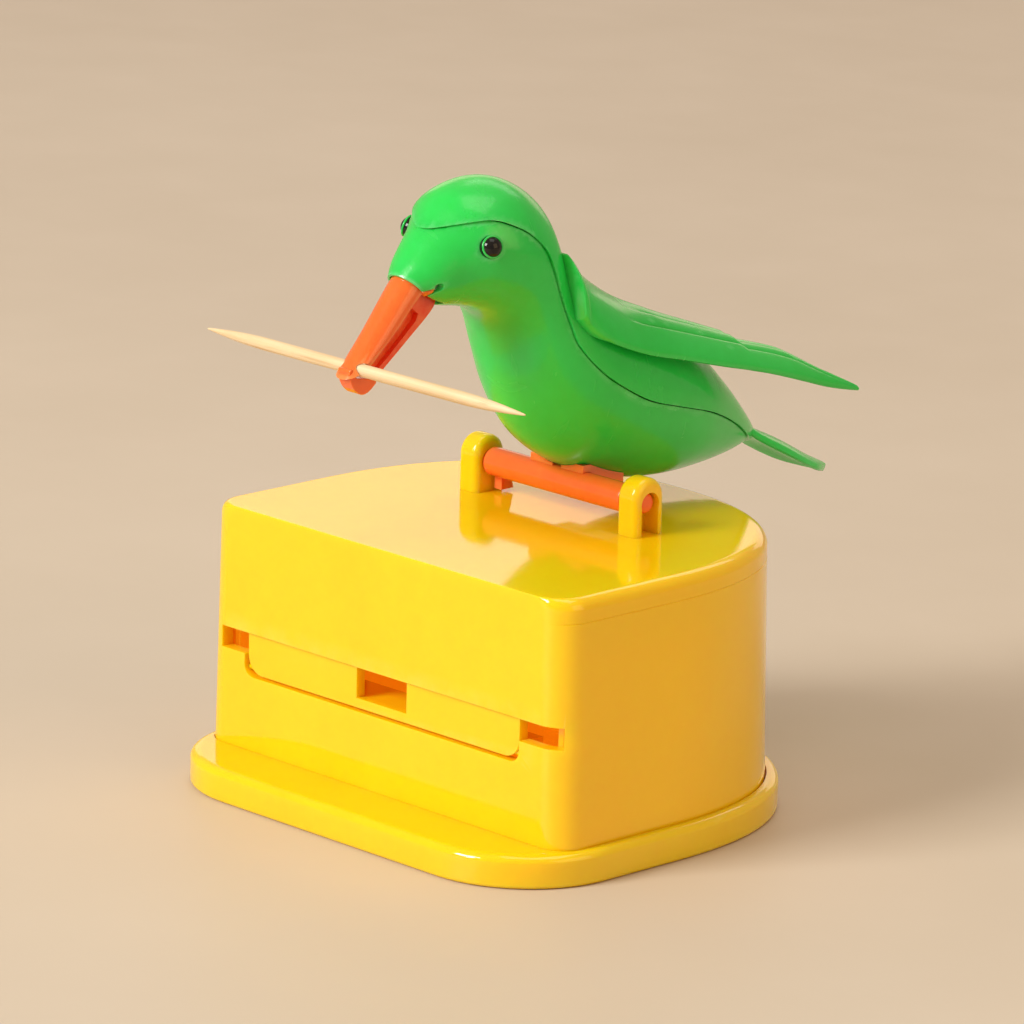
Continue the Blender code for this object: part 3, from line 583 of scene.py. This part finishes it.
# The corner of the mouth, Y and Z: a notch that runs back to the pin's hole.
MOUTH = [
    (1.0, 78.9), (3.9, 78.2), (4.9, 78.6), (5.6, 79.15), (5.9, 78.8), (5.7, 78.3), (4.9, 77.4),
    (5.0, 76.6), (5.4, 75.4), (3.0, 74.0), (1.0, 76.0),
]
# The slot in the chin that the lower beak swings in, Y and Z.
BLADE_ROOM, BLADE_ROOM_HALF = [(4.6, 79.3), (8.1, 78.6), (8.1, 74.4), (4.6, 74.4)], 1.8
SHELL = 1.4
CAP_PROUD = 0.42        # how far the cap stands out from the body along the seam


def body_skin(grow, steps=6, sides=96, skip=0):
    stations = smooth_path(BODY_STATIONS[skip:len(BODY_STATIONS) - skip], steps)
    rings = []
    for top_y, top_z, low_y, low_z, half in stations:
        top, low = Vector((0, top_y, top_z)), Vector((0, low_y, low_z))
        up = (top - low).normalized()
        rise = max((top - low).length / 2 + grow, 0.2)
        wide = max(half + grow, 0.2)
        middle = (top + low) / 2
        ring = []
        for i in range(sides):
            turn = 2 * math.pi * i / sides
            ring.append(middle + up * rise * math.sin(turn) + Vector((wide * math.cos(turn), 0, 0)))
        rings.append(ring)
    return loft(rings)


def above_seam(lift):
    line = smooth_path(SEAM, 6)
    raised = []
    for before, point, after in zip([line[0], *line], line, [*line[1:], line[-1]]):
        along = (Vector(after) - Vector(before)).normalized()
        raised.append((point[0] - along.y * lift, point[1] + along.x * lift))
    return slab([*raised, (110, 43), (110, 110), (-20, 110), (-20, raised[0][1])], -30, 30, "X")


BEAK_FRONT = [(4.2, 82.0), (1.3, 79.2), (-3.4, 73.4), (-8.6, 66.9)]
BEAK_REAR = [(8.4, 79.2), (4.4, 78.0), (-0.9, 72.6), (-5.3, 68.3)]
BEAK_HALF = [2.9, 2.8, 2.5, 2.2]
BEAK_GAP, BEAK_STRETCH = 0.22, 4.5      # the beak's room in the head, wider and longer than the beak
BEAK_PIN, PIN_HOLE, BLADE_BORE, KNUCKLE = Vector((0, 5.6, 78.8)), 0.62, 0.75, 1.9
EYE_AT, EYE_RADIUS, EYE_GAP = Vector((8.1, 12.1, 84.3)), 1.6, 0.03


def beak_sections(steps=8):
    """Front edge, rear edge and half width along the upper beak, from its root to its tip."""
    stations = [(*front, *rear, half) for front, rear, half in zip(BEAK_FRONT, BEAK_REAR, BEAK_HALF)]
    for front_y, front_z, rear_y, rear_z, half in smooth_path(stations, steps):
        yield Vector((0, front_y, front_z)), Vector((0, rear_y, rear_z)), half


def nose_arc(front, back, half, nose_steps=28):
    """The rounded front of a section, from its left side to its right."""
    turns = [math.pi * i / nose_steps for i in range(nose_steps + 1)]
    return [front + back * half * (1 - math.sin(a)) - Vector((half * math.cos(a), 0, 0)) for a in turns]


def beak_skin(grow, stretch=0.0):
    """The upper beak's outer form, grown all over and with its rear pushed back."""
    rings = []
    for front, rear, half in beak_sections():
        back = (rear - front).normalized()
        rear = rear + back * (grow + stretch)
        across = Vector((half + grow, 0, 0))
        rings.append([rear + across, rear - across, *nose_arc(front - back * grow, back, half + grow)])
    return loft(rings)


def bird_body():
    body = make("visual_bird_body", body_skin(0), 60)
    cutters = [
        make("inside", body_skin(-SHELL, skip=1)),
        make("above", above_seam(-0.10)),
        make("beak_room", beak_skin(BEAK_GAP, BEAK_STRETCH)),
        make("blade_room", slab(BLADE_ROOM, -BLADE_ROOM_HALF, BLADE_ROOM_HALF, "X")),
        make("shaft_room", rod(PERCH_AXIS, PERCH_RADIUS + GAP, 50, "X")),
    ]
    for side in (-1, 1):
        eye = (side * EYE_AT.x, EYE_AT.y, EYE_AT.z)
        cutters.append(make("eye_socket", ball(eye, EYE_RADIUS + EYE_GAP)))
        cutters.append(make("mouth", slab(MOUTH, *sorted((side * 2.6, side * 9.0)), "X")))
        cutters.append(make("pin_hole", rod(BEAK_PIN + Vector((side * 4.4, 0, 0)), PIN_HOLE, 7, "X")))
    cut(body, *cutters)
    soften(body, 0.10, 2, 50, 40)
    return finish_piece(body, "bird", "green_plastic", "bird_body")


def bird_cap():
    cap = make("visual_bird_cap", body_skin(CAP_PROUD), 60)
    cut(cap, make("inside", body_skin(-SHELL, skip=1)))
    boolean(cap, "INTERSECT", make("above", above_seam(0.06)))
    soften(cap, 0.20, 3, 50, 40)
    return finish_piece(cap, "bird", "green_plastic", "bird_cap")


EYE_OUT = Vector((0.92, -0.30, 0.25)).normalized()      # the way the right eye looks
RING_RADIUS, RING_WIRE, RING_OUT = 1.50, 0.17, 0.66


def eye(name, side):
    """A glossy bead, and round it a raised ring of the body's plastic."""
    middle = Vector((side * EYE_AT.x, EYE_AT.y, EYE_AT.z))
    out = Vector((side * EYE_OUT.x, EYE_OUT.y, EYE_OUT.z))
    bead = make("visual_eye_" + name, ball(middle, EYE_RADIUS), 60)
    finish_piece(bead, "bird", "eye_black", "eye_" + name)
    across = out.orthogonal().normalized()
    up = out.cross(across)
    bm = bmesh.new()
    sections = []
    wire = [math.radians(30 * j) for j in range(12)]
    for i in range(64):
        turn = 2 * math.pi * i / 64
        spoke = across * math.cos(turn) + up * math.sin(turn)
        hub = middle + out * RING_OUT + spoke * RING_RADIUS
        points = [hub + (spoke * math.cos(a) + out * math.sin(a)) * RING_WIRE for a in wire]
        sections.append([bm.verts.new(point) for point in points])
    for near, far in zip(sections, sections[1:] + sections[:1]):
        for j in range(12):
            bm.faces.new((near[j], near[j - 1], far[j - 1], far[j]))
    finish_piece(make("visual_eye_ring_" + name, bm, 60), "bird", "green_plastic")


# ---------------------------------------------------------------- wings and tail

# Wing: upper edge (X, Y, Z) and lower edge (X, Y, Z), from the shoulder to the tip.
WING_STATIONS = [
    (8.9, 25.4, 81.8, 11.6, 26.8, 72.4),
    (6.8, 31.0, 77.4, 12.9, 31.0, 69.0),
    (5.2, 38.5, 73.0, 13.4, 38.5, 66.0),
    (4.9, 46.0, 69.6, 13.6, 46.0, 64.1),
    (4.9, 55.0, 66.3, 13.6, 55.0, 61.8),
    (5.6, 63.5, 63.2, 13.3, 63.5, 59.7),
    (7.4, 71.0, 60.4, 12.9, 71.0, 57.4),
    (9.8, 78.0, 56.8, 12.4, 78.0, 55.1),
    (11.6, 84.3, 54.1, 12.1, 84.5, 53.5),
]
WING_HALF_THICK, WING_CAMBER = 0.65, 0.13
WING_ROWS, WING_ACROSS = 14, 40
# Feathers, as shares of the way from the upper edge to the lower, with the share of the length they reach.
FEATHER_EDGES = [0.0, 0.30, 0.58, 1.0]
FEATHER_DOME, FEATHER_STEP, GROOVE_DEEP, GROOVE_WIDE = 0.16, 0.42, 0.46, 0.020
NOTCH_AT, NOTCH_DEEP = 0.575, 0.22
COLLAR_END, COLLAR_STEP, COLLAR_HIGH = 0.034, 0.012, 0.60      # the thick rim round the shoulder
SHOULDER_END, SHOULDER_FILL = 0.14, 2.6                         # the shoulder's foot, down to the body


def feather_relief(along, across):
    """Height of the outer face: each feather is gently domed, with a groove where it meets the next."""
    height = 0.0
    start = 0.22
    for low, high in zip(FEATHER_EDGES, FEATHER_EDGES[1:]):
        if low <= across <= high:
            share = (across - low) / (high - low)
            height = FEATHER_DOME * math.sin(math.pi * share) + FEATHER_STEP * (1 - share)
    fade = min(max((along - start) / 0.12, 0), 1)
    for edge in FEATHER_EDGES[1:-1]:
        height -= GROOVE_DEEP * math.exp(-((across - edge) / GROOVE_WIDE) ** 2)
    return height * fade * (1 - max(along - 0.9, 0) * 8 if along > 0.9 else 1)


def wing(name, side):
    """A thin cambered plate with three long feathers in its outer face."""
    stations = smooth_path(WING_STATIONS, WING_ROWS)
    rings = []
    for row, station in enumerate(stations):
        along = row / (len(stations) - 1)
        upper, lower = Vector(station[:3]), Vector(station[3:])
        step = min(max((along - NOTCH_AT) / 0.012, 0), 1) * max(1 - (along - NOTCH_AT) / 0.16, 0)
        upper = upper.lerp(lower, NOTCH_DEEP * step)
        across = lower - upper
        out = Vector((0, 1, 0)).cross(across).normalized()
        if out.x < 0:
            out = -out
        thick = WING_HALF_THICK * (1 - 0.55 * max(along - 0.75, 0) / 0.25)
        camber = WING_CAMBER * across.length
        collar = COLLAR_HIGH * min(max((COLLAR_END + COLLAR_STEP - along) / COLLAR_STEP, 0), 1)
        foot = SHOULDER_FILL * max(1 - along / SHOULDER_END, 0)
        face, back = [], []
        for i in range(WING_ACROSS + 1):
            t = i / WING_ACROSS
            point = upper + across * t + out * camber * math.sin(math.pi * t)
            rim = math.sqrt(max(1 - abs(2 * t - 1) ** 14, 0.0))
            raised = (thick + collar) * rim + (feather_relief(along, t) - 0.15) * rim
            face.append(point + out * raised)
            back.append(point - out * (thick * rim + foot))
        ring = face + back[-2:0:-1]
        rings.append([Vector((side * p.x, p.y, p.z)) for p in ring])
    made = make("visual_wing_" + name, loft(rings), 60)
    return finish_piece(made, "bird", "green_plastic", "wing_" + name)


# Tail: Y, Z, half width and how far its edges droop.
TAIL_STATIONS = [
    (68.0, 50.4, 2.0, 0.4),
    (73.0, 47.0, 3.4, 0.8),
    (79.0, 44.2, 4.8, 1.5),
    (85.0, 41.0, 3.8, 1.2),
    (90.0, 38.6, 0.7, 0.2),
]


def tail():
    """A drooping leaf with a rib down the middle and a groove on each side."""
    rings = []
    stations = smooth_path(TAIL_STATIONS, 12)
    for row, (y, z, half, droop) in enumerate(stations):
        along = row / (len(stations) - 1)
        face, back = [], []
        for i in range(33):
            t = i / 16 - 1
            rim = math.sqrt(max(1 - abs(t) ** 10, 0))
            rib = 0.22 * math.exp(-(t / 0.10) ** 2) - 0.16 * math.exp(-((abs(t) - 0.5) / 0.05) ** 2)
            point = Vector((half * t, y, z - droop * t * t))
            lift = Vector((0, 0.3, 0.55)) * rim
            face.append(point + lift * (1 + rib * (1 - along * 0.6)))
            back.append(point - lift)
        rings.append(face + back[-2:0:-1])
    made = make("visual_tail", loft(rings), 60)
    return finish_piece(made, "bird", "green_plastic")


# ---------------------------------------------------------------- beak, feet and toothpick

HOOK_OUTLINE = [
    (-8.0, 67.3), (-7.6, 66.2), (-6.9, 65.2), (-5.7, 64.4), (-4.5, 64.5), (-3.4, 65.2), (-2.8, 65.9),
    (-3.9, 66.4), (-5.4, 66.75), (-6.4, 66.9), (-7.0, 67.4), (-7.3, 68.2), (-7.9, 68.2),
]
HOOK_HALF = 1.25
BEAK_LIP = 0.9          # wall of the upper beak
PICK = Vector((1.8, -6.0, 68.05))
PICK_LENGTH, PICK_RADIUS, PICK_POINT, PICK_TIP = 65.0, 0.95, 13.0, 0.12


def pick_room(gap):
    """The cutter that keeps a beak piece clear of the toothpick."""
    return make("pick_room", rod((0, PICK.y, PICK.z), PICK_RADIUS + gap, 12, "X"))


def upper_beak():
    """The beak's rounded shell, open behind, with the notch that the toothpick passes through."""
    rings = []
    for front, rear, half in beak_sections():
        back = (rear - front).normalized()
        outer = [rear - Vector((half, 0, 0)), *nose_arc(front, back, half), rear + Vector((half, 0, 0))]
        half -= BEAK_LIP
        inner = [rear + Vector((half, 0, 0)), *nose_arc(front + back * BEAK_LIP, back, half)[::-1]]
        rings.append([*outer, *inner, rear - Vector((half, 0, 0))])
    shell = make("visual_upper_beak", loft(rings))
    cut(shell, pick_room(0.1))
    soften(shell, 0.22, 3, 45, 40)
    return finish_piece(shell, "bird", "orange_plastic", "upper_beak")


# What the root fills of each corner of the mouth, Y and Z.
ROOT_OUTLINE = [
    (1.3, 78.7), (3.9, 78.05), (4.85, 78.4), (5.05, 78.6), (5.1, 78.1),
    (4.75, 77.4), (4.85, 76.6), (5.2, 75.5), (3.1, 74.3), (1.3, 76.1),
]


def beak_root():
    """The thick root of the beak, flush with the head, which fills the corners of the mouth."""
    root = make("visual_beak_root", slab(ROOT_OUTLINE, -6, 6, "X"))
    boolean(root, "INTERSECT", make("head", body_skin(-0.05)))
    cut(root, make("blade_room", block((-1.8, -5, 70), (1.8, 12, 90))))
    return finish_piece(root, "bird", "orange_plastic")


def beak_hook():
    """The curled tip below the toothpick."""
    outline = smooth_path([*HOOK_OUTLINE, HOOK_OUTLINE[0]], 4)[:-1]
    hook = make("visual_beak_hook", slab(outline, -HOOK_HALF, HOOK_HALF, "X"))
    cut(hook, pick_room(0.12))
    soften(hook, 0.45, 4, 50, 40)
    return finish_piece(hook, "bird", "orange_plastic")


# Lower beak: its front and rear edges (Y, Z) and half width, from the root to the tip.
BLADE_STATIONS = [
    (6.4, 79.9, 7.6, 77.2, 1.5),
    (4.7, 79.0, 7.5, 75.1, 1.5),
    (-0.6, 73.4, 2.85, 71.1, 1.35),
    (-5.0, 69.25, -1.9, 67.25, 1.2),
]
# The long hollow in each side of the blade, Y and Z, and how near the middle it reaches.
POCKET = [
    (3.0, 75.9), (4.7, 74.6), (4.3, 73.6), (1.7, 71.3),
    (-0.7, 69.2), (-2.6, 67.7), (-6.0, 68.4), (-6.0, 70.4),
]
POCKET_DEEP = 0.45


def lower_beak():
    """The blade that closes on the toothpick, hinged on the beak's pin."""
    rings = []
    for front_y, front_z, rear_y, rear_z, half in smooth_path(BLADE_STATIONS, 6):
        rings.append([(-half, front_y, front_z), (half, front_y, front_z),
                      (half, rear_y, rear_z), (-half, rear_y, rear_z)])
    blade = make("visual_lower_beak", loft(rings))
    boolean(blade, "UNION", make("knuckle", rod(BEAK_PIN, KNUCKLE, 2.6, "X")))
    pockets = []
    for side in (-1, 1):
        pockets.append(make("pocket", slab(POCKET, *sorted((side * POCKET_DEEP, side * 3)), "X")))
    cut(blade, make("bore", rod(BEAK_PIN, BLADE_BORE, 6, "X")), pick_room(0.2), *pockets)
    soften(blade, 0.28, 3, 45, 40)
    finish_piece(blade, "beak", "orange_plastic", "lower_beak")
    # Painted shade: the blade gets the darker, redder copy of the orange plastic.
    blade.data.materials[0] = SHADED_ORANGE


# A foot's sides, and its extent from the perch's axis in Y and Z.
FOOT_IN, FOOT_OUT, FOOT_Y, FOOT_Z = 0.9, 5.4, (-0.8, 7.5), (-0.6, 3.2)


def foot(name, side):
    """A moulded foot between the bar and the belly, lapping over the bar in front."""
    y, z = PERCH_AXIS.y, PERCH_AXIS.z
    left, right = sorted((side * FOOT_IN, side * FOOT_OUT))
    made = make("visual_foot_" + name,
                block((left, y + FOOT_Y[0], z + FOOT_Z[0]), (right, y + FOOT_Y[1], z + FOOT_Z[1])))
    cut(made, make("shaft_room", rod(PERCH_AXIS, PERCH_RADIUS + 0.05, 50, "X")),
        make("belly", body_skin(0.05)))
    soften(made, 0.3, 3, 45, 40)
    return finish_piece(made, "bird", "orange_plastic", "perch_foot_" + name)


def toothpick():
    """A turned birch toothpick, tapering to a point at both ends."""
    half = PICK_LENGTH / 2
    rings = []
    for i in range(121):
        x = -half + PICK_LENGTH * i / 120
        end = min(half - abs(x), PICK_POINT) / PICK_POINT
        radius = PICK_TIP + (PICK_RADIUS - PICK_TIP) * math.sin(math.pi / 2 * end) ** 0.9
        ring = []
        for j in range(28):
            turn = 2 * math.pi * j / 28
            wave = noise.noise(Vector((x * 0.05, math.cos(turn) * 0.9, math.sin(turn) * 0.9)))
            wide = radius * (1 - 0.03 * (1 + wave) * end)
            ring.append(PICK + Vector((x, wide * math.cos(turn), wide * math.sin(turn))))
        rings.append(ring)
    made = make("visual_toothpick", loft(rings), 50)
    return finish_piece(made, "toothpick", "toothpick_wood", "held_toothpick")


base_tray()
housing()
pick_gate()
for side_name, which in (("left", -1), ("right", 1)):
    lug(side_name, which)
    eye(side_name, which)
    wing(side_name, which)
    foot(side_name, which)
shaft()
bird_body()
bird_cap()
tail()
upper_beak()
beak_root()
beak_hook()
lower_beak()
toothpick()

slot_of = {part["node"]: part["material_slot"] for part in frame["record"]["subparts"]}
for node_name, obj in frame["nodes"].items():
    obj.data.materials.clear()
    # The hopper pieces get the painted-glow copy of the yellow plastic.
    obj.data.materials.append(INNER_GLOW if node_name.startswith("hopper") else SLOTS[slot_of[node_name]])


# ---------------------------------------------------------------- stage, light and camera


def floor():
    bpy.ops.mesh.primitive_plane_add(size=6.0, location=(0, 0, 0))
    plane = bpy.context.object
    plane.name = "floor"
    n = Nodes("scene_floor")
    n.link(n.mix(n.ramp(n.noise(6, 3), 0.3, 0.7), (0.57, 0.48, 0.39), (0.61, 0.52, 0.43)),
           n.shader.inputs["Base Color"])
    n.link(n.ramp(n.noise(40, 3), 0.3, 0.7, 0.50, 0.60), n.shader.inputs["Roughness"])
    plane.data.materials.append(n.material)


def softbox(name, place, aim, size, power, colour):
    lamp = bpy.data.lights.new(name, "AREA")
    lamp.shape = "RECTANGLE"
    lamp.size, lamp.size_y = size
    lamp.energy = power
    lamp.color = colour
    made = bpy.data.objects.new(name, lamp)
    made.location = place
    made.rotation_euler = (Vector(aim) - Vector(place)).to_track_quat("-Z", "Y").to_euler()
    bpy.context.scene.collection.objects.link(made)


CAMERA_AT, CAMERA_LENS = (684.73, -642.83, 294.04), 242.36
CAMERA_TURN = (45.697, 14.751, 1.429)       # yaw, pitch and roll, in degrees


def camera():
    """The photograph's view: a long lens from the right of the front, 15 degrees up."""
    yaw, pitch, roll = (math.radians(a) for a in CAMERA_TURN)
    back = Vector((math.sin(yaw) * math.cos(pitch), -math.cos(yaw) * math.cos(pitch), math.sin(pitch)))
    right = Vector((math.cos(yaw), math.sin(yaw), 0))
    up = back.cross(right)
    level = Matrix((right, up, back)).transposed().to_4x4()
    data = bpy.data.cameras.new("camera")
    data.sensor_width = 36.0
    data.lens = CAMERA_LENS
    data.clip_start = 0.01
    made = bpy.data.objects.new("camera", data)
    made.matrix_world = Matrix.Translation(at(CAMERA_AT)) @ level @ Matrix.Rotation(roll, 4, "Z")
    bpy.context.scene.collection.objects.link(made)
    bpy.context.scene.camera = made


def world():
    made = bpy.data.worlds.new("studio")
    made.use_nodes = True
    made.node_tree.nodes["Background"].inputs["Color"].default_value = (1.0, 0.82, 0.62, 1.0)
    made.node_tree.nodes["Background"].inputs["Strength"].default_value = 0.42
    bpy.context.scene.world = made


floor()
world()
softbox("key", (-0.31, -1.22, 0.80), (0, 0, 0.04), (0.55, 0.55), 21.2, (1.0, 1.0, 0.93))
softbox("fill", (1.05, 0.15, 0.50), (0, 0, 0.04), (0.8, 0.8), 3.0, (1.0, 0.72, 0.36))
softbox("top", (0.1, 0.10, 1.2), (0, 0, 0.04), (0.7, 0.7), 2.6, (1.0, 0.98, 0.92))
softbox("back", (-1.0, 1.25, 0.42), (0, 0, 0.05), (1.5, 0.45), 2.0, (1.0, 0.76, 0.62))
softbox("rim", (-0.55, 0.95, 0.95), (0, 0, 0.07), (0.9, 0.35), 1.3, (1.0, 0.98, 0.92))
camera()
bpy.context.scene.view_settings.view_transform = "Standard"
